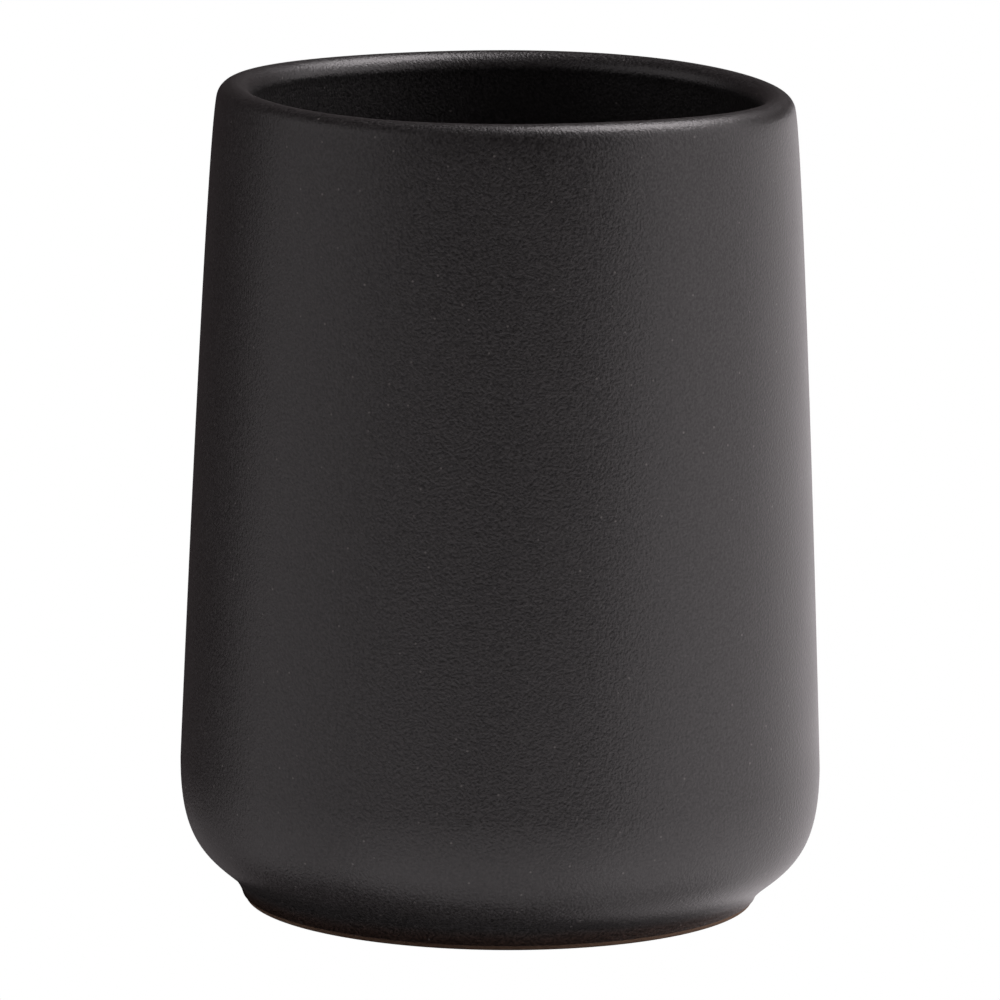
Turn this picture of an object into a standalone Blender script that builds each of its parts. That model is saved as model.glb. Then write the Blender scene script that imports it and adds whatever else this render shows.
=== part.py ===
"""Stoneware candle jar with a tapered wall, built up from the layers it is made of.

The fired clay body has a floor, a wall with a rounded rim and a foot ring. Three coats of
glaze lie on it: one outside, one inside, and a disc in the recess under the floor.
Units are metres. The jar stands on z = 0, +Z is up, and its axis is the Z axis.
"""

import math

import bpy
from mathutils import Vector
from mathutils.geometry import interpolate_bezier

JAR = "candle_jar"

# Outside of the glazed jar
HEIGHT = 0.1022
DIAMETER = 0.080
TAPER = 0.0042                 # how much smaller the radius is at the rim than at the belly
BELLY_HEIGHT = 0.0171          # where the wall is widest
SHOULDER_INSET = 0.0072        # how much smaller the radius is in the crease than at the belly
SHOULDER_SLOPE = math.radians(40)
LIP_LEAN = math.radians(14)    # how far the wall leans in where the rim's round begins

# Foot ring
CREASE_HEIGHT = 0.0022
FOOT_DRAFT = 0.0009            # how much the foot narrows from the crease to the standing face
RING_WIDTH = 0.0040
RING_ROUND = 0.0004
BARE_FOOT = 0.0007             # height of the clay that is left without glaze

# Walls and cavity
RIM_OUTER_ROUND = 0.0022
RIM_INNER_ROUND = 0.0020       # how far the rim's crest stands out from the wall of the cavity
FLOOR = 0.0050
RECESS_DEPTH = 0.0018          # from the standing face up to the glazed underside
CAVITY_CORNER = 0.0090
BASE_COAT_MARGIN = 0.0010      # bare clay between the base coat and the foot ring

# Layers
GLAZE = 0.0005
LAYER_GAP = 0.0003             # clearance between a coat and what it lies against
BARE_SETBACK = 0.00015         # how far the bare foot lies inside the glazed foot's line

# How far each end of a curved stretch holds its direction
SHOULDER_LOW_REACH = 0.0051
SHOULDER_HIGH_REACH = 0.0105
BELLY_REACH = 0.0010
LIP_REACH = 0.0050
QUARTER_REACH = 0.5523         # share of the radius that turns a curve into a quarter circle

# Fineness
TURN_STEPS = 48
CURVE_STEPS = 6
RIM_STEPS = 3
EDGE_STEPS = 2
WELD = 0.00001

# Sizes that follow from the ones above
BELLY_RADIUS = DIAMETER / 2
LIP_RADIUS = BELLY_RADIUS - TAPER
CREASE_RADIUS = BELLY_RADIUS - SHOULDER_INSET
STANDING_RADIUS = CREASE_RADIUS - FOOT_DRAFT
WALL = RIM_OUTER_ROUND + RIM_INNER_ROUND
CAVITY_FLOOR = RECESS_DEPTH + FLOOR
CLAY_DEPTH = GLAZE + LAYER_GAP
RING_OUTER = STANDING_RADIUS - BARE_SETBACK
RING_INNER = RING_OUTER - RING_WIDTH


# ---------------------------------------------------------------- outlines, as (radius, height)

def arc(centre, radius, start, end, steps):
    """Points on a round stretch from one angle to another, both ends included."""
    angles = (start + (end - start) * step / steps for step in range(steps + 1))
    return [centre + radius * Vector((math.cos(a), math.sin(a))) for a in angles]


def inset(points, distance):
    """The outline moved sideways by a distance, to the right of its direction of travel."""
    sides = []
    for here, there in zip(points, points[1:]):
        run = (there - here).normalized()
        sides.append(Vector((run.y, -run.x)))
    moved = []
    for point, before, after in zip(points, sides[:1] + sides, sides + sides[-1:]):
        middle = (before + after).normalized()
        moved.append(point + middle * (distance / middle.dot(after)))
    return moved


def above(points, height):
    """The part of a rising outline that lies above a height, cut exactly there."""
    for index, (low, high) in enumerate(zip(points, points[1:])):
        if low.y <= height < high.y:
            share = (height - low.y) / (high.y - low.y)
            return [low.lerp(high, share)] + points[index + 1:]
    return points


def rim_outside():
    """The rim's outer round, from the crest down to the wall."""
    centre = Vector((
        LIP_RADIUS - RIM_OUTER_ROUND * math.cos(LIP_LEAN),
        HEIGHT - RIM_OUTER_ROUND,
    ))
    return arc(centre, RIM_OUTER_ROUND, math.pi / 2, LIP_LEAN, RIM_STEPS)


def rim_inside():
    """The rim's inner round, from the wall of the cavity up to the crest."""
    crest = rim_outside()[0]
    lip = inset(wall_outside(), WALL)[0]
    up_from_lip = Vector((-math.sin(LIP_LEAN), math.cos(LIP_LEAN)))
    return interpolate_bezier(
        lip,
        lip + QUARTER_REACH * (crest.y - lip.y) * up_from_lip,
        crest - Vector((QUARTER_REACH * RIM_INNER_ROUND, 0)),
        crest,
        RIM_STEPS + 1,
    )


def wall_outside():
    """The gently curved wall, from the rim down to the belly."""
    lip = rim_outside()[-1]
    belly = Vector((BELLY_RADIUS, BELLY_HEIGHT))
    down_from_lip = Vector((math.sin(LIP_LEAN), -math.cos(LIP_LEAN)))
    return interpolate_bezier(
        lip,
        lip + LIP_REACH * down_from_lip,
        belly + Vector((0, BELLY_REACH)),
        belly,
        CURVE_STEPS + 1,
    )


def shoulder_outside():
    """The rounded shoulder, from the belly down and in to the crease over the foot."""
    belly = Vector((BELLY_RADIUS, BELLY_HEIGHT))
    crease = Vector((CREASE_RADIUS, CREASE_HEIGHT))
    out_of_crease = Vector((math.cos(SHOULDER_SLOPE), math.sin(SHOULDER_SLOPE)))
    return interpolate_bezier(
        belly,
        belly - Vector((0, SHOULDER_HIGH_REACH)),
        crease + SHOULDER_LOW_REACH * out_of_crease,
        crease,
        CURVE_STEPS + 1,
    )


def glazed_foot():
    """The foot's side, from the crease down to the edge of the glaze."""
    crease = Vector((CREASE_RADIUS, CREASE_HEIGHT))
    standing = Vector((STANDING_RADIUS, 0))
    edge = BARE_FOOT + LAYER_GAP
    return [crease, standing.lerp(crease, edge / CREASE_HEIGHT)]


def outside():
    """The glazed outside, from the rim's crest down to the edge of the glaze."""
    return rim_outside() + wall_outside()[1:] + shoulder_outside()[1:] + glazed_foot()[1:]


def inside():
    """The glazed cavity, from the middle of its floor up to the rim's crest."""
    wall = inset(wall_outside(), WALL)[::-1]
    wall = above(wall, CAVITY_FLOOR + CAVITY_CORNER)
    top = wall[0]
    upward = (wall[1] - wall[0]).normalized()
    flat_edge = Vector((top.x - CAVITY_CORNER, CAVITY_FLOOR))
    corner = interpolate_bezier(
        flat_edge,
        flat_edge + Vector((QUARTER_REACH * CAVITY_CORNER, 0)),
        top - QUARTER_REACH * CAVITY_CORNER * upward,
        top,
        CURVE_STEPS + 1,
    )
    return [Vector((0, CAVITY_FLOOR))] + corner + wall[1:] + rim_inside()[1:]


def glazed_section():
    """All of the glazed outline, from the middle of the cavity over the rim to the foot."""
    return inside() + outside()[1:]


def foot_ring():
    """The bare foot ring, from the edge of the glaze down, under, and up into the recess."""
    ledge = Vector((RING_OUTER + FOOT_DRAFT * BARE_FOOT / CREASE_HEIGHT, BARE_FOOT))
    outer_round = arc(
        Vector((RING_OUTER - RING_ROUND, RING_ROUND)), RING_ROUND, 0, -math.pi / 2, EDGE_STEPS
    )
    inner_round = arc(
        Vector((RING_INNER + RING_ROUND, RING_ROUND)), RING_ROUND, -math.pi / 2, -math.pi, EDGE_STEPS
    )
    ceiling = RECESS_DEPTH + CLAY_DEPTH
    under_glaze = inset(glazed_section(), CLAY_DEPTH)[-1]
    step = Vector((under_glaze.x, BARE_FOOT))
    recess = [Vector((RING_INNER, ceiling)), Vector((0, ceiling))]
    return [step, ledge] + outer_round + inner_round + recess


# ---------------------------------------------------------------- objects

def collection(name):
    """A new collection in the scene."""
    made = bpy.data.collections.new(name)
    bpy.context.scene.collection.children.link(made)
    return made


def surface(name, colour, roughness):
    """A plain non-metal material."""
    made = bpy.data.materials.new(name)
    made.use_nodes = True
    shader = made.node_tree.nodes["Principled BSDF"]
    shader.inputs["Base Color"].default_value = (*colour, 1)
    shader.inputs["Roughness"].default_value = roughness
    shader.inputs["Metallic"].default_value = 0
    made.diffuse_color = (*colour, 1)
    return made


def turned(name, profile, material, closed):
    """An outline turned round the Z axis. A closed one is a ring, an open one ends on the axis."""
    count = len(profile)
    edges = [(index, index + 1) for index in range(count - 1)]
    if closed:
        edges.append((count - 1, 0))
    mesh = bpy.data.meshes.new(name)
    mesh.from_pydata([(point.x, 0, point.y) for point in profile], edges, [])
    mesh.materials.append(material)
    made = bpy.data.objects.new(name, mesh)
    bpy.data.collections[JAR].objects.link(made)

    screw = made.modifiers.new("Turn", "SCREW")
    screw.axis = "Z"
    screw.angle = 2 * math.pi
    screw.screw_offset = 0
    screw.steps = TURN_STEPS
    screw.render_steps = TURN_STEPS
    screw.use_merge_vertices = True
    screw.merge_threshold = WELD
    screw.use_smooth_shade = True
    return made


def stoneware_body():
    """Clay floor, wall, rim and foot ring, one fired piece."""
    profile = inset(glazed_section(), CLAY_DEPTH) + foot_ring()
    clay = surface("stoneware", (0.42, 0.26, 0.15), 0.85)
    return turned("stoneware_body", profile, clay, closed=False)


def outer_glaze(glaze):
    """Coat on the outside, from the crest of the rim to just above the foot's bare edge."""
    crest = len(inside()) - 1
    half_seam = Vector((LAYER_GAP / 2, 0))
    face = glazed_section()[crest:]
    back = inset(glazed_section(), GLAZE)[crest:]
    face[0] += half_seam
    back[0] += half_seam
    return turned("outer_glaze", face + back[::-1], glaze, closed=True)


def inner_glaze(glaze):
    """Coat in the cavity, from the middle of the floor to the crest of the rim."""
    crest = len(inside()) - 1
    half_seam = Vector((LAYER_GAP / 2, 0))
    face = glazed_section()[:crest + 1]
    back = inset(glazed_section(), GLAZE)[:crest + 1]
    face[-1] -= half_seam
    back[-1] -= half_seam
    return turned("inner_glaze", face + back[::-1], glaze, closed=False)


def base_glaze(glaze):
    """Disc of glaze in the recess under the floor, clear of the foot ring."""
    radius = RING_INNER - BASE_COAT_MARGIN
    low = RECESS_DEPTH
    high = RECESS_DEPTH + GLAZE
    bevel = GLAZE / 2
    profile = [
        Vector((0, high)),
        Vector((radius, high)),
        Vector((radius, low + bevel)),
        Vector((radius - bevel, low)),
        Vector((0, low)),
    ]
    return turned("base_glaze", profile, glaze, closed=False)


def main():
    for old in list(bpy.data.objects):
        bpy.data.objects.remove(old, do_unlink=True)
    collection(JAR)
    glaze = surface("satin_black_glaze", (0.020, 0.020, 0.021), 0.45)
    stoneware_body()
    outer_glaze(glaze)
    inner_glaze(glaze)
    base_glaze(glaze)


main()
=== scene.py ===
"""Looks of the candle jar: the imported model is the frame, and finer turned pieces stand for it.

Laid out as a Blender add-on and run as a script. Lengths are metres, +Z is up, and the jar's
axis is the Z axis, with its foot ring standing on z = 0.
"""

import math

import bpy
from bpy.props import FloatProperty, FloatVectorProperty, IntProperty, PointerProperty
from bpy.types import Operator, Panel, PropertyGroup
from mathutils import Matrix, Vector
from mathutils.geometry import interpolate_bezier


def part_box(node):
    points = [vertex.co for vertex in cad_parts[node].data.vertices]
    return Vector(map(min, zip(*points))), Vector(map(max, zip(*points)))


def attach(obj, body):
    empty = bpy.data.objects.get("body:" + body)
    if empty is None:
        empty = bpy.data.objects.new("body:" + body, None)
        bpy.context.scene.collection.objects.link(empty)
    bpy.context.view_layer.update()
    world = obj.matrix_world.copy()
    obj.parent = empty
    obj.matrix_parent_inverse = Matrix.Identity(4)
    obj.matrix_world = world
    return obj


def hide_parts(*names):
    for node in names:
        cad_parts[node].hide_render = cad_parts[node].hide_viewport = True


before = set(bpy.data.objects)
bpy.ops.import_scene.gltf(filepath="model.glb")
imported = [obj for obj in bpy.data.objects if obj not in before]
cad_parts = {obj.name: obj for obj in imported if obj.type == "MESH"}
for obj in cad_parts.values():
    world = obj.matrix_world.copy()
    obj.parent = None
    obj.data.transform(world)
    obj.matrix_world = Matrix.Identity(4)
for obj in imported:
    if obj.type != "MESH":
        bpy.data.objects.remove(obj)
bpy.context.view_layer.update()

bl_info = {
    "name": "Candle jar",
    "version": (1, 0, 0),
    "blender": (4, 5, 0),
    "location": "3D View > Sidebar > Candle jar",
    "description": "A stoneware candle jar with satin black glaze, on a pale floor",
    "category": "Object",
}

# Sizes read from the frame
OUTER_LOW, OUTER_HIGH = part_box("outer_glaze")
BASE_LOW, BASE_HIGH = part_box("base_glaze")
GLAZE = BASE_HIGH.z - BASE_LOW.z
CAVITY_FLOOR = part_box("inner_glaze")[0].z + GLAZE


# ---------------------------------------------------------------- settings

class JarShape(PropertyGroup):
    """Outline of the jar."""

    height: FloatProperty(
        name="Height", description="From the floor to the crest of the rim",
        default=OUTER_HIGH.z, unit="LENGTH")
    belly_radius: FloatProperty(
        name="Belly radius", description="Largest radius, just above the shoulder",
        default=OUTER_HIGH.x, unit="LENGTH")
    belly_height: FloatProperty(
        name="Belly height", description="Height at which the wall is widest",
        default=0.0171, unit="LENGTH")
    taper: FloatProperty(
        name="Taper", description="How much smaller the radius is at the rim than at the belly",
        default=0.0042, unit="LENGTH")
    lip_lean: FloatProperty(
        name="Lip lean", description="How far the wall leans in where the rim's round begins",
        default=math.radians(14), subtype="ANGLE")
    rim_outer_round: FloatProperty(
        name="Rim outer round", description="Radius of the rim on its outer side",
        default=0.0022, unit="LENGTH")
    rim_inner_round: FloatProperty(
        name="Rim inner round",
        description="How far the crest stands out from the wall of the cavity",
        default=0.0020, unit="LENGTH")
    shoulder_inset: FloatProperty(
        name="Shoulder inset", description="How much smaller the radius is in the crease",
        default=0.0072, unit="LENGTH")
    shoulder_slope: FloatProperty(
        name="Shoulder slope", description="Slope of the shoulder where it leaves the crease",
        default=math.radians(40), subtype="ANGLE")
    crease_height: FloatProperty(
        name="Crease height", description="Height of the crease over the foot ring",
        default=0.0022, unit="LENGTH")
    crease_round: FloatProperty(
        name="Crease round", description="How far from the crease the glaze fills it",
        default=0.0016, unit="LENGTH")
    foot_draft: FloatProperty(
        name="Foot draft", description="How much the foot narrows towards the floor",
        default=0.0009, unit="LENGTH")
    bare_foot: FloatProperty(
        name="Bare foot", description="Height of the clay that is left without glaze",
        default=0.00055, unit="LENGTH")
    ring_width: FloatProperty(
        name="Ring width", description="Width of the bare ring that the jar stands on",
        default=0.0040, unit="LENGTH")
    cavity_corner: FloatProperty(
        name="Cavity corner", description="Round between the cavity's floor and its wall",
        default=0.0090, unit="LENGTH")
    tilt: FloatProperty(
        name="Tilt", description="How much the jar's height falls for each metre across",
        default=0.0105)
    rim_wave: FloatProperty(
        name="Rim wave", description="How far the rim rises and falls on its way round",
        default=0.0002, unit="LENGTH")
    unevenness: FloatProperty(
        name="Unevenness", description="How far the wall swells and sinks",
        default=0.00005, unit="LENGTH")
    turn_steps: IntProperty(
        name="Turn steps", description="Number of faces round the jar", default=256, min=32)


class GlazeFinish(PropertyGroup):
    """Satin black glaze and bare clay."""

    glaze_colour: FloatVectorProperty(
        name="Glaze", description="Colour of the black glaze", subtype="COLOR",
        default=(0.016, 0.0155, 0.0155), min=0, max=1)
    clay_colour: FloatVectorProperty(
        name="Clay", description="Colour of the bare fired clay", subtype="COLOR",
        default=(0.20, 0.125, 0.08), min=0, max=1)
    # Painted warm bounce light: a warmer, lighter glaze colour near the foot
    painted_bounce_colour: FloatVectorProperty(
        name="Painted bounce", description="Warm colour painted near the foot for bounce light",
        subtype="COLOR", default=(0.030, 0.016, 0.011), min=0, max=1)
    grain_height: FloatProperty(
        name="Grain height", description="Height of the glaze's fine grain",
        default=0.00006, unit="LENGTH")
    grain_contrast: FloatProperty(
        name="Grain contrast", description="How much the fine grain changes the glaze's colour",
        default=3.0, min=0)
    # Painted glints: lighter specks in the glaze colour that stand for sparkle
    glint_strength: FloatProperty(
        name="Glints", description="How strongly the lighter specks show", default=0.35,
        min=0, max=1, subtype="FACTOR")
    glaze_roughness: FloatProperty(
        name="Glaze roughness", description="Mean roughness of the glaze", default=0.38,
        min=0, max=1, subtype="FACTOR")


# ---------------------------------------------------------------- outlines, as (radius, height)

# How far each end of a curved stretch holds its direction
SHOULDER_LOW_REACH = 0.0051
SHOULDER_HIGH_REACH = 0.0105
BELLY_REACH = 0.0010
LIP_REACH = 0.0050
QUARTER_REACH = 0.5523         # share of the radius that turns a curve into a quarter circle
CREASE_PULL = 0.6              # share of the way to the crease that the glaze filling it is drawn
CREASE_END = 0.8               # share of the foot's side that the filled crease takes up

# Fineness
RIM_STEPS = 28
WALL_STEPS = 40
SHOULDER_STEPS = 32
CORNER_STEPS = 20
FILL_STEPS = 8
EDGE_STEPS = 8

# Bare foot
BARE_SETBACK = 0.0001          # how far the bare foot lies inside the glazed foot's line
RING_ROUND = 0.00018
BEAD = GLAZE * 0.4             # depth of the glaze's rounded edge
BEAD_SHARE = 0.75              # share of a curve's pull that a curve with two equal pulls reaches


def arc(centre, radius, start, end, steps):
    """Points on a round stretch from one angle to another, both ends included."""
    angles = (start + (end - start) * step / steps for step in range(steps + 1))
    return [centre + radius * Vector((math.cos(a), math.sin(a))) for a in angles]


def inset(points, distance):
    """The outline moved sideways by a distance, to the right of its direction of travel."""
    sides = []
    for here, there in zip(points, points[1:]):
        run = (there - here).normalized()
        sides.append(Vector((run.y, -run.x)))
    moved = []
    for point, before, after in zip(points, sides[:1] + sides, sides + sides[-1:]):
        middle = (before + after).normalized()
        moved.append(point + middle * (distance / middle.dot(after)))
    return moved


def above(points, height):
    """The part of a rising outline that lies above a height, cut exactly there."""
    for index, (low, high) in enumerate(zip(points, points[1:])):
        if low.y <= height < high.y:
            share = (height - low.y) / (high.y - low.y)
            return [low.lerp(high, share)] + points[index + 1:]
    return points


def below(points, height):
    """The part of a falling outline that lies below a height, cut exactly there."""
    for index, (high, low) in enumerate(zip(points, points[1:])):
        if low.y <= height < high.y:
            share = (high.y - height) / (high.y - low.y)
            return points[:index + 1] + [high.lerp(low, share)]
    return points


def rim_outside(shape):
    """The rim's outer round, from the crest down to the wall."""
    radius = shape.rim_outer_round
    lip_radius = shape.belly_radius - shape.taper
    centre = Vector((lip_radius - radius * math.cos(shape.lip_lean), shape.height - radius))
    return arc(centre, radius, math.pi / 2, shape.lip_lean, RIM_STEPS)


def wall_outside(shape):
    """The gently curved wall, from the rim down to the belly."""
    lip = rim_outside(shape)[-1]
    belly = Vector((shape.belly_radius, shape.belly_height))
    down_from_lip = Vector((math.sin(shape.lip_lean), -math.cos(shape.lip_lean)))
    return interpolate_bezier(
        lip, lip + LIP_REACH * down_from_lip,
        belly + Vector((0, BELLY_REACH)), belly, WALL_STEPS + 1)


def shoulder_outside(shape):
    """The rounded shoulder, from the belly down and in to where the glaze fills the crease."""
    belly = Vector((shape.belly_radius, shape.belly_height))
    crease = Vector((shape.belly_radius - shape.shoulder_inset, shape.crease_height))
    out_of_crease = Vector((math.cos(shape.shoulder_slope), math.sin(shape.shoulder_slope)))
    shoulder = interpolate_bezier(
        belly, belly - Vector((0, SHOULDER_HIGH_REACH)),
        crease + SHOULDER_LOW_REACH * out_of_crease, crease, SHOULDER_STEPS + 1)
    return below(shoulder, shape.crease_height + shape.crease_round * out_of_crease.y)


def glazed_foot(shape, start):
    """The filled crease and the foot's side, from the shoulder's end to the glaze's edge."""
    crease = Vector((shape.belly_radius - shape.shoulder_inset, shape.crease_height))
    standing = Vector((crease.x - shape.foot_draft, 0))
    edge = standing.lerp(crease, (shape.bare_foot + BEAD) / shape.crease_height)
    fill_end = crease.lerp(edge, CREASE_END)
    fill = interpolate_bezier(
        start, start.lerp(crease, CREASE_PULL),
        fill_end.lerp(crease, CREASE_PULL), fill_end, FILL_STEPS + 1)
    return fill[1:] + [edge]


def outside(shape):
    """The glazed outside, from the rim's crest down to the edge of the glaze."""
    shoulder = shoulder_outside(shape)
    foot = glazed_foot(shape, shoulder[-1])
    return rim_outside(shape) + wall_outside(shape)[1:] + shoulder[1:] + foot


def inside(shape):
    """The glazed cavity, from the middle of its floor up to the rim's crest."""
    thickness = shape.rim_outer_round + shape.rim_inner_round
    wall = inset(wall_outside(shape), thickness)[::-1]
    lip = wall[-1]
    crest = rim_outside(shape)[0]
    up_from_lip = Vector((-math.sin(shape.lip_lean), math.cos(shape.lip_lean)))
    rim = interpolate_bezier(
        lip, lip + QUARTER_REACH * (crest.y - lip.y) * up_from_lip,
        crest - Vector((QUARTER_REACH * shape.rim_inner_round, 0)), crest, RIM_STEPS + 1)
    wall = above(wall, CAVITY_FLOOR + shape.cavity_corner)
    top = wall[0]
    upward = (wall[1] - wall[0]).normalized()
    flat_edge = Vector((top.x - shape.cavity_corner, CAVITY_FLOOR))
    reach = QUARTER_REACH * shape.cavity_corner
    corner = interpolate_bezier(
        flat_edge, flat_edge + Vector((reach, 0)), top - reach * upward, top, CORNER_STEPS + 1)
    return [Vector((0, CAVITY_FLOOR))] + corner + wall[1:] + rim[1:]


def glazed_section(shape):
    """All of the glazed outline, from the middle of the cavity over the rim to the foot."""
    return inside(shape) + outside(shape)[1:]


# ---------------------------------------------------------------- nodes

class Wire:
    """A node's output that can stand in a Python expression."""

    def __init__(self, tree, socket):
        self.tree = tree
        self.socket = socket

    def maths(self, operation, first, second=0.0):
        """A Math node on one or two values."""
        made = add(self.tree, "ShaderNodeMath", {"operation": operation}, {0: first, 1: second})
        return made["Value"]

    def __add__(self, other):
        return self.maths("ADD", self, other)

    def __radd__(self, other):
        return self.maths("ADD", other, self)

    def __sub__(self, other):
        return self.maths("SUBTRACT", self, other)

    def __rsub__(self, other):
        return self.maths("SUBTRACT", other, self)

    def __mul__(self, other):
        return self.maths("MULTIPLY", self, other)

    def __rmul__(self, other):
        return self.maths("MULTIPLY", other, self)

    def __truediv__(self, other):
        return self.maths("DIVIDE", self, other)


class Outputs:
    """A node's outputs by name or number, each as a Wire."""

    def __init__(self, tree, node):
        self.tree = tree
        self.node = node

    def __getitem__(self, name):
        return Wire(self.tree, self.node.outputs[name])


def add(tree, kind, settings=None, inputs=None):
    """A new node, with its settings made first and its inputs set or linked after."""
    node = tree.nodes.new(kind)
    for name, value in (settings or {}).items():
        setattr(node, name, value)
    for name, value in (inputs or {}).items():
        if isinstance(value, Wire):
            tree.links.new(value.socket, node.inputs[name])
        else:
            node.inputs[name].default_value = value
    return Outputs(tree, node)


def eased(tree, value, start, end):
    """A smooth step from 0 to 1 as a value goes from one limit to the other."""
    return add(tree, "ShaderNodeMapRange", {"interpolation_type": "SMOOTHSTEP"},
               {"Value": value, "From Min": start, "From Max": end})["Result"]


# ---------------------------------------------------------------- turning an outline

TURNING_INPUTS = {
    "Steps": "NodeSocketInt",
    "Tilt": "NodeSocketFloat",
    "Rim wave": "NodeSocketFloat",
    "Unevenness": "NodeSocketFloat",
}
FOOT_FLAT = (0.0004, 0.0030)       # heights between which the tilt fades in, over the level foot
RIM_RISE = (0.045, 0.100)          # heights between which the rim's wave fades in
TWO_LOBES = 0.35                   # share of a wave with two rises beside the one with three
UNEVEN_SCALE = 28.0
UNEVEN_SEED = 3.7
AXIS_EASE = 0.02                   # keeps the swelling finite where an outline meets the axis
ROUNDING = 0.000001                # makes a whole number of rows divide to a whole number
WELD = 0.000001
SHARP_ANGLE = math.radians(35)


def turning_tree(material):
    """Node tree that turns an outline's points round the Z axis and makes the turn uneven."""
    tree = bpy.data.node_groups.new("Turned outline", "GeometryNodeTree")
    tree.interface.new_socket("Geometry", in_out="INPUT", socket_type="NodeSocketGeometry")
    for name, kind in TURNING_INPUTS.items():
        tree.interface.new_socket(name, in_out="INPUT", socket_type=kind)
    tree.interface.new_socket("Geometry", in_out="OUTPUT", socket_type="NodeSocketGeometry")
    given = add(tree, "NodeGroupInput")
    steps = given["Steps"]
    rows = add(tree, "GeometryNodeAttributeDomainSize", {"component": "MESH"},
               {"Geometry": given["Geometry"]})["Point Count"]
    grid = add(tree, "GeometryNodeMeshGrid", None,
               {"Size X": 1.0, "Size Y": 1.0, "Vertices X": steps + 1, "Vertices Y": rows})
    index = add(tree, "GeometryNodeInputIndex")["Index"]
    row = index.maths("MODULO", index, rows)
    column = index.maths("FLOOR", index / rows + ROUNDING)
    place = add(tree, "GeometryNodeInputPosition")["Position"]
    point = add(tree, "GeometryNodeSampleIndex",
                {"data_type": "FLOAT_VECTOR", "domain": "POINT"},
                {"Geometry": given["Geometry"], "Value": place, "Index": row})["Value"]
    outline = add(tree, "ShaderNodeSeparateXYZ", None, {"Vector": point})
    angle = column * (2 * math.pi) / steps
    x = outline["X"] * angle.maths("COSINE", angle)
    y = outline["X"] * angle.maths("SINE", angle)
    height = outline["Z"]
    round_place = add(tree, "ShaderNodeCombineXYZ", None, {"X": x, "Y": y, "Z": height})["Vector"]

    low = eased(tree, height, *FOOT_FLAT)
    high = eased(tree, height, *RIM_RISE)
    lobes = angle.maths("COSINE", 3 * angle) + TWO_LOBES * angle.maths("COSINE", 2 * angle)
    fall = x * low * given["Tilt"] + lobes * high * given["Rim wave"]
    bumps = add(tree, "ShaderNodeTexNoise", {"noise_dimensions": "4D"},
                {"Vector": round_place, "W": UNEVEN_SEED, "Scale": UNEVEN_SCALE, "Detail": 1.0})
    swell = (bumps[0] - 0.5) * given["Unevenness"] * low / (outline["X"] + AXIS_EASE)
    uneven = add(tree, "ShaderNodeCombineXYZ", None,
                 {"X": x * swell, "Y": y * swell, "Z": 0 - fall})["Vector"]
    final = add(tree, "ShaderNodeVectorMath", {"operation": "ADD"},
                {0: round_place, 1: uneven})["Vector"]

    turned = add(tree, "GeometryNodeSetPosition", None,
                 {"Geometry": grid["Mesh"], "Position": final})["Geometry"]
    welded = add(tree, "GeometryNodeMergeByDistance", None,
                 {"Geometry": turned, "Distance": WELD})["Geometry"]
    outward = add(tree, "GeometryNodeFlipFaces", None, {"Mesh": welded})["Mesh"]
    smooth = add(tree, "GeometryNodeSetShadeSmooth", None, {"Geometry": outward})["Geometry"]
    real = add(tree, "GeometryNodeRealizeInstances", None, {"Geometry": smooth})["Geometry"]
    coated = add(tree, "GeometryNodeSetMaterial", None,
                 {"Geometry": real, "Material": material})["Geometry"]
    add(tree, "NodeGroupOutput", None, {"Geometry": coated})
    return tree


def turned_piece(name, outline, material, steps):
    """A piece turned from an outline of (radius, height) points, as a plain mesh.

    The tilt and the unevenness are the jar's own, so that all its layers share them.
    """
    mesh = bpy.data.meshes.new(name + "_outline")
    mesh.from_pydata([(point.x, 0, point.y) for point in outline], [], [])
    source = bpy.data.objects.new(name + "_outline", mesh)
    bpy.context.scene.collection.objects.link(source)
    modifier = source.modifiers.new("Turn", "NODES")
    modifier.node_group = turning_tree(material)
    sockets = {item.name: item.identifier for item in modifier.node_group.interface.items_tree
               if item.in_out == "INPUT"}
    shape = bpy.context.scene.jar_shape
    modifier[sockets["Steps"]] = steps
    modifier[sockets["Tilt"]] = shape.tilt
    modifier[sockets["Rim wave"]] = shape.rim_wave
    modifier[sockets["Unevenness"]] = shape.unevenness
    bpy.context.view_layer.update()
    evaluated = source.evaluated_get(bpy.context.evaluated_depsgraph_get())
    made = bpy.data.meshes.new_from_object(evaluated)
    made.name = name
    bpy.data.objects.remove(source)
    made.set_sharp_from_angle(angle=SHARP_ANGLE)
    piece = bpy.data.objects.new(name, made)
    bpy.context.scene.collection.objects.link(piece)
    return piece


# ---------------------------------------------------------------- materials

# Glaze
GRAIN_SCALE = 2900.0
CLOUD_SCALE = 120.0
GLAZE_TONE = 0.9
CLOUD_TONE = 0.2
GRAIN_ROUGHNESS = 0.15
CLOUD_ROUGHNESS = 0.05
# Painted warm bounce light near the foot, mixed into the glaze colour
PAINTED_BOUNCE_HEIGHTS = (0.0032, 0.0007)      # heights between which the painted warm bounce light fades in towards the foot
PAINTED_BOUNCE_WANDER = 0.0006               # how far those heights wander up and down
PAINTED_BOUNCE_SHARE = 0.8
# Painted glints: small light grey specks in the glaze colour
GLINT_SCALE = 420.0
GLINT_EDGE = (0.085, 0.03)         # distances from a painted glint's middle between which it fades in
GLINT_COLOUR = (0.22, 0.21, 0.20)

# Bare clay
GRIT_SCALE = 1500.0
STAIN_SCALE = 90.0
GRIT_HEIGHT = 0.00006
CLAY_TONE = 0.25
GRIT_TONE = 0.8
STAIN_TONE = 0.7
CLAY_ROUGHNESS = 0.85


def new_material(name):
    """A new material with an empty node tree, and that tree."""
    made = bpy.data.materials.new(name)
    made.use_nodes = True
    tree = made.node_tree
    tree.nodes.clear()
    return made, tree


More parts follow.
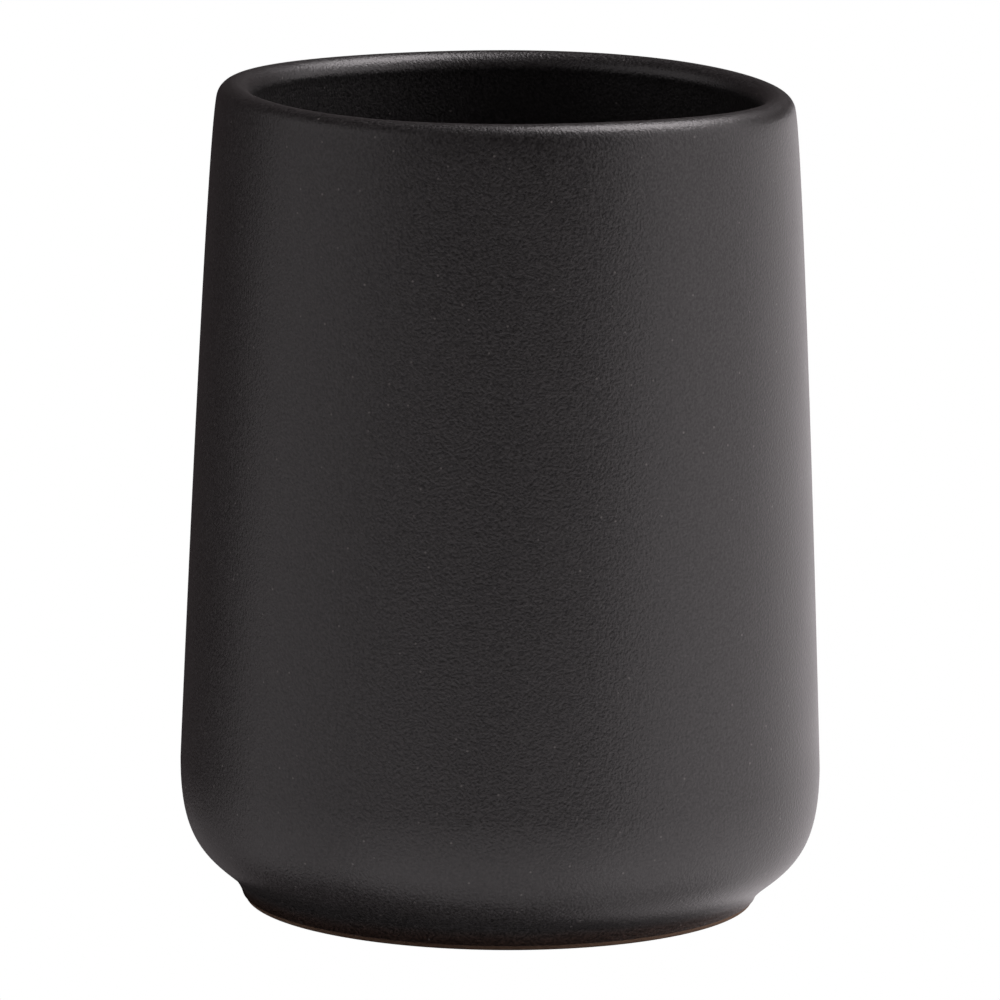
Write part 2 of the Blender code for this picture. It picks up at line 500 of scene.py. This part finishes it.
def noise(tree, place, scale, detail, roughness=0.5):
    """A smooth noise from 0 to 1, by the object's own coordinates."""
    return add(tree, "ShaderNodeTexNoise", {"noise_dimensions": "3D"},
               {"Vector": place, "Scale": scale, "Detail": detail, "Roughness": roughness})[0]


def relief(tree, depth, height):
    """A normal that follows a fine relief."""
    return add(tree, "ShaderNodeBump", None,
               {"Strength": 1.0, "Distance": depth, "Height": height})["Normal"]


def scaled(tree, colour, factor):
    """A colour times a factor that varies over the surface."""
    return add(tree, "ShaderNodeVectorMath", {"operation": "SCALE"},
               {0: colour, "Scale": factor})["Vector"]


def mixed(tree, share, first, second):
    """A colour part of the way from one colour to another."""
    node = add(tree, "ShaderNodeMix", {"data_type": "RGBA"}).node
    for socket, value in zip((node.inputs[0], node.inputs[6], node.inputs[7]),
                             (share, first, second)):
        if isinstance(value, Wire):
            tree.links.new(value.socket, socket)
        else:
            socket.default_value = (*value, 1)
    return Wire(tree, node.outputs[2])


def satin_black_glaze(finish):
    """Satin black glaze with a fine grain, a few painted glints and painted warm bounce light at the
    foot.
    """
    made, tree = new_material("satin_black_glaze")
    place = add(tree, "ShaderNodeTexCoord")["Object"]
    grain = noise(tree, place, GRAIN_SCALE, detail=1.0)
    cloud = noise(tree, place, CLOUD_SCALE, detail=2.0)
    tone = GLAZE_TONE + CLOUD_TONE * cloud + finish.grain_contrast * (grain - 0.5)
    height = add(tree, "ShaderNodeSeparateXYZ", None, {"Vector": place})["Z"]
    # Painted warm bounce light: the glaze colour turns warmer and lighter towards the foot
    painted_bounce = eased(tree, height + PAINTED_BOUNCE_WANDER * (cloud - 0.5), *PAINTED_BOUNCE_HEIGHTS)
    # Painted glints: small lighter specks mixed into the glaze colour as sparkle
    glint_spots = add(tree, "ShaderNodeTexVoronoi", {"feature": "F1"},
                {"Vector": place, "Scale": GLINT_SCALE, "Randomness": 1.0})["Distance"]
    glints = eased(tree, glint_spots, *GLINT_EDGE)
    body = mixed(tree, PAINTED_BOUNCE_SHARE * painted_bounce, finish.glaze_colour, finish.painted_bounce_colour)
    colour = mixed(tree, finish.glint_strength * glints, scaled(tree, body, tone), GLINT_COLOUR)
    roughness = finish.glaze_roughness + GRAIN_ROUGHNESS * (grain - 0.5)
    roughness = roughness + CLOUD_ROUGHNESS * (cloud - 0.5)
    shader = add(tree, "ShaderNodeBsdfPrincipled", None,
                 {"Base Color": colour, "Roughness": roughness,
                  "Normal": relief(tree, finish.grain_height, grain)})["BSDF"]
    add(tree, "ShaderNodeOutputMaterial", None, {"Surface": shader})
    return made


def bare_clay(finish):
    """Warm brown fired clay with a gritty surface."""
    made, tree = new_material("bare_stoneware")
    place = add(tree, "ShaderNodeTexCoord")["Object"]
    grit = noise(tree, place, GRIT_SCALE, detail=4.0, roughness=0.7)
    stain = noise(tree, place, STAIN_SCALE, detail=2.0)
    tone = CLAY_TONE + GRIT_TONE * grit + STAIN_TONE * stain
    shader = add(tree, "ShaderNodeBsdfPrincipled", None,
                 {"Base Color": scaled(tree, finish.clay_colour, tone),
                  "Roughness": CLAY_ROUGHNESS,
                  "Normal": relief(tree, GRIT_HEIGHT, grit)})["BSDF"]
    add(tree, "ShaderNodeOutputMaterial", None, {"Surface": shader})
    return made


def found_material(name, make):
    """The material of that name, made if it isn't there yet."""
    return bpy.data.materials.get(name) or make(bpy.context.scene.jar_finish)


# ---------------------------------------------------------------- operators

class MakeOuterGlaze(Operator):
    """Coat of glaze on the outside, up to the crest of the rim"""

    bl_idname = "jar.outer_glaze"
    bl_label = "Outer glaze"

    def execute(self, context):
        shape = context.scene.jar_shape
        crest = len(inside(shape)) - 1
        face = glazed_section(shape)[crest:]
        back = inset(glazed_section(shape), GLAZE)[crest:]
        drop = Vector((0, -BEAD / BEAD_SHARE))
        bead = interpolate_bezier(
            face[-1], face[-1] + drop, back[-1] + drop, back[-1], EDGE_STEPS + 1)
        outline = face + bead[1:] + back[-2::-1] + face[:1]
        glaze = found_material("satin_black_glaze", satin_black_glaze)
        piece = turned_piece("outer_glaze_coat", outline, glaze, shape.turn_steps)
        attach(piece, "root")
        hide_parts("outer_glaze")
        return {"FINISHED"}


class MakeInnerGlaze(Operator):
    """Coat of glaze in the cavity, up to the crest of the rim"""

    bl_idname = "jar.inner_glaze"
    bl_label = "Inner glaze"

    def execute(self, context):
        shape = context.scene.jar_shape
        crest = len(inside(shape)) - 1
        face = glazed_section(shape)[:crest + 1]
        back = inset(glazed_section(shape), GLAZE)[:crest + 1]
        glaze = found_material("satin_black_glaze", satin_black_glaze)
        piece = turned_piece("inner_glaze_coat", face + back[::-1], glaze, shape.turn_steps)
        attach(piece, "root")
        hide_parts("inner_glaze")
        return {"FINISHED"}


class MakeBaseGlaze(Operator):
    """Disc of glaze in the recess under the floor"""

    bl_idname = "jar.base_glaze"
    bl_label = "Base glaze"

    def execute(self, context):
        shape = context.scene.jar_shape
        high = BASE_HIGH.z
        low = BASE_LOW.z
        radius = BASE_HIGH.x
        edge = arc(Vector((radius - GLAZE, high)), GLAZE, 0, -math.pi / 2, EDGE_STEPS)
        outline = [Vector((0, high))] + edge + [Vector((0, low))]
        glaze = found_material("satin_black_glaze", satin_black_glaze)
        piece = turned_piece("base_glaze_coat", outline, glaze, shape.turn_steps)
        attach(piece, "root")
        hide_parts("base_glaze")
        return {"FINISHED"}


class MakeStoneware(Operator):
    """Fired clay body, bare on its foot ring"""

    bl_idname = "jar.stoneware"
    bl_label = "Stoneware body"

    def execute(self, context):
        shape = context.scene.jar_shape
        under_glaze = inset(glazed_section(shape), GLAZE)
        crease_radius = shape.belly_radius - shape.shoulder_inset
        outer = crease_radius - shape.foot_draft - BARE_SETBACK
        inner = outer - shape.ring_width
        ceiling = BASE_HIGH.z
        ledge = [
            Vector((under_glaze[-1].x, shape.bare_foot + BEAD / 2)),
            Vector((outer + BARE_SETBACK / 2, shape.bare_foot)),
        ]
        ring = arc(Vector((outer - RING_ROUND, RING_ROUND)), RING_ROUND, 0, -math.pi / 2, EDGE_STEPS)
        ring += arc(Vector((inner + RING_ROUND, RING_ROUND)), RING_ROUND,
                    -math.pi / 2, -math.pi, EDGE_STEPS)
        ring += [Vector((inner, ceiling)), Vector((0, ceiling))]
        clay = found_material("bare_stoneware", bare_clay)
        piece = turned_piece("stoneware_jar_body", under_glaze + ledge + ring, clay, shape.turn_steps)
        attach(piece, "root")
        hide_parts("stoneware_body")
        return {"FINISHED"}


# ---------------------------------------------------------------- studio

CAMERA_DISTANCE = 1.23902
CAMERA_ELEVATION = math.radians(10.1791)
CAMERA_ROLL = math.radians(0.5139)
CAMERA_LENS = 358.00               # in millimetres, as is the sensor's width
SENSOR_WIDTH = 36
LOOK_HEIGHT = 0.05028
LOOK_SIDE = -0.00031


def place_camera():
    """Camera a little above the rim, turned slightly about its line of sight."""
    data = bpy.data.cameras.new("jar_camera")
    data.sensor_width = SENSOR_WIDTH
    data.lens = CAMERA_LENS
    back = Vector((0, -math.cos(CAMERA_ELEVATION), math.sin(CAMERA_ELEVATION)))
    side = Vector((1, 0, 0))
    up = back.cross(side)
    right = side * math.cos(CAMERA_ROLL) + up * math.sin(CAMERA_ROLL)
    top = up * math.cos(CAMERA_ROLL) - side * math.sin(CAMERA_ROLL)
    turn = Matrix((right, top, back)).transposed()
    camera = bpy.data.objects.new("jar_camera", data)
    place = Vector((LOOK_SIDE, 0, LOOK_HEIGHT)) + back * CAMERA_DISTANCE
    camera.matrix_world = Matrix.Translation(place) @ turn.to_4x4()
    bpy.context.scene.collection.objects.link(camera)
    bpy.context.scene.camera = camera


STAGE_STEPS = 96
STAGE_OUTLINE = [(0.0, -0.0005), (2.4, -0.0005), (2.8, 0.15), (3.0, 0.6), (3.0, 4.0)]
SHADE_INSET = 0.0062               # how far inside the belly the shade under the foot ends
SHADE_SHIFT = Vector((-0.0013, -0.0008, 0))     # away from the brighter lights
SHADE_DROP = 0.0003
SHADE_COLOUR = (0.03, 0.02, 0.015, 1)
LIGHT_COLOUR = (1.05, 0.985, 1.01)
AIR_COLOUR = (1.22, 0.94, 0.98)
AIR_STRENGTH = 0.041
LIGHT_DISTANCE = 1.2
LIGHT_HEIGHT = 0.05
SOFT_LIGHTS = {
    # name: (first and last azimuth, lowest and highest elevation, in degrees, glow)
    "left_floor_glow": (-110, -50, -45, 0, 0.64),
    "front_left_floor_glow": (-50, -5, -45, -7, 0.89),
    "front_right_floor_glow": (-5, 40, -45, -8, 0.89),
    "right_floor_glow": (40, 100, -45, 0, 1.33),
    "back_right_floor_glow": (100, 172, -45, 3, 1.22),
    "back_left_floor_glow": (-168, -105, -38, -17, 0.20),
    "near_front_floor_glow": (-60, 60, -75, -45, 0.70),
    "near_right_floor_glow": (60, 160, -75, -45, 0.60),
    "left_softbox": (-110, -40, 4, 45, 0.64),
    "right_softbox": (45, 120, 4, 45, 1.20),
    "top_softbox": (75, 150, 45, 80, 7.33),
}


def soft_light(name, first, last, lowest, highest, glow):
    """A flat soft light that fills a patch of the sky, or of the floor, as the jar sees it."""
    azimuth = math.radians((first + last) / 2)
    elevation = math.radians((lowest + highest) / 2)
    data = bpy.data.lights.new(name, "AREA")
    data.shape = "RECTANGLE"
    half_width = math.tan(math.radians(last - first) / 2) * math.cos(elevation)
    data.size = 2 * LIGHT_DISTANCE * half_width
    data.size_y = 2 * LIGHT_DISTANCE * math.tan(math.radians(highest - lowest) / 2)
    data.energy = glow * math.pi * data.size * data.size_y
    data.color = LIGHT_COLOUR
    light = bpy.data.objects.new(name, data)
    flat = math.cos(elevation)
    way = Vector((math.sin(azimuth) * flat, -math.cos(azimuth) * flat, math.sin(elevation)))
    side = Vector((math.cos(azimuth), math.sin(azimuth), 0))
    turn = Matrix((side, way.cross(side), way)).transposed().to_4x4()
    place = Vector((0, 0, LIGHT_HEIGHT)) + way * LIGHT_DISTANCE
    light.matrix_world = Matrix.Translation(place) @ turn
    bpy.context.scene.collection.objects.link(light)


def place_floor():
    """A plain white floor and backdrop, which the camera sees and the jar doesn't mirror."""
    made, tree = new_material("pale_floor")
    shader = add(tree, "ShaderNodeEmission", None, {"Color": (1, 1, 1, 1)})["Emission"]
    add(tree, "ShaderNodeOutputMaterial", None, {"Surface": shader})
    points = [Vector(point) for point in STAGE_OUTLINE]
    floor = turned_piece("studio_floor", points, made, STAGE_STEPS)
    floor.visible_diffuse = False
    floor.visible_glossy = False
    floor.visible_shadow = False


def place_shade(shape):
    """A dark disc that the camera doesn't see, for the floor's shaded patch round the foot."""
    dark, tree = new_material("contact_shade")
    shader = add(tree, "ShaderNodeBsdfDiffuse", None, {"Color": SHADE_COLOUR})["BSDF"]
    add(tree, "ShaderNodeOutputMaterial", None, {"Surface": shader})
    radius = shape.belly_radius - SHADE_INSET
    points = [Vector((0, -SHADE_DROP)), Vector((radius, -SHADE_DROP))]
    shade = turned_piece("contact_shade", points, dark, STAGE_STEPS)
    shade.data.transform(Matrix.Translation(SHADE_SHIFT))
    shade.visible_camera = False


def place_air():
    """Faint even light from all round."""
    world = bpy.data.worlds.new("studio_air")
    world.use_nodes = True
    air = world.node_tree.nodes["Background"].inputs
    air["Color"].default_value = (*AIR_COLOUR, 1)
    air["Strength"].default_value = AIR_STRENGTH
    bpy.context.scene.world = world


class MakeStudio(Operator):
    """Pale floor, soft lights and the camera"""

    bl_idname = "jar.studio"
    bl_label = "Studio"

    def execute(self, context):
        place_floor()
        place_shade(context.scene.jar_shape)
        for name, settings in SOFT_LIGHTS.items():
            soft_light(name, *settings)
        place_air()
        context.scene.view_settings.view_transform = "Standard"
        place_camera()
        return {"FINISHED"}


class JarPanel(Panel):
    """Lists the jar's pieces and settings"""

    bl_label = "Candle jar"
    bl_idname = "VIEW3D_PT_candle_jar"
    bl_space_type = "VIEW_3D"
    bl_region_type = "UI"
    bl_category = "Candle jar"

    def draw(self, context):
        for operator in PIECES:
            self.layout.operator(operator.bl_idname)
        for settings in (context.scene.jar_shape, context.scene.jar_finish):
            for name in settings.bl_rna.properties.keys():
                if name not in ("rna_type", "name"):
                    self.layout.prop(settings, name)


PIECES = (MakeStoneware, MakeOuterGlaze, MakeInnerGlaze, MakeBaseGlaze, MakeStudio)
CLASSES = (JarShape, GlazeFinish, *PIECES, JarPanel)


def register():
    for made in CLASSES:
        bpy.utils.register_class(made)
    bpy.types.Scene.jar_shape = PointerProperty(type=JarShape)
    bpy.types.Scene.jar_finish = PointerProperty(type=GlazeFinish)


def unregister():
    del bpy.types.Scene.jar_finish
    del bpy.types.Scene.jar_shape
    for made in reversed(CLASSES):
        bpy.utils.unregister_class(made)


def main():
    register()
    bpy.ops.jar.stoneware()
    bpy.ops.jar.outer_glaze()
    bpy.ops.jar.inner_glaze()
    bpy.ops.jar.base_glaze()
    bpy.ops.jar.studio()
    bpy.context.view_layer.update()


if __name__ == "__main__":
    main()
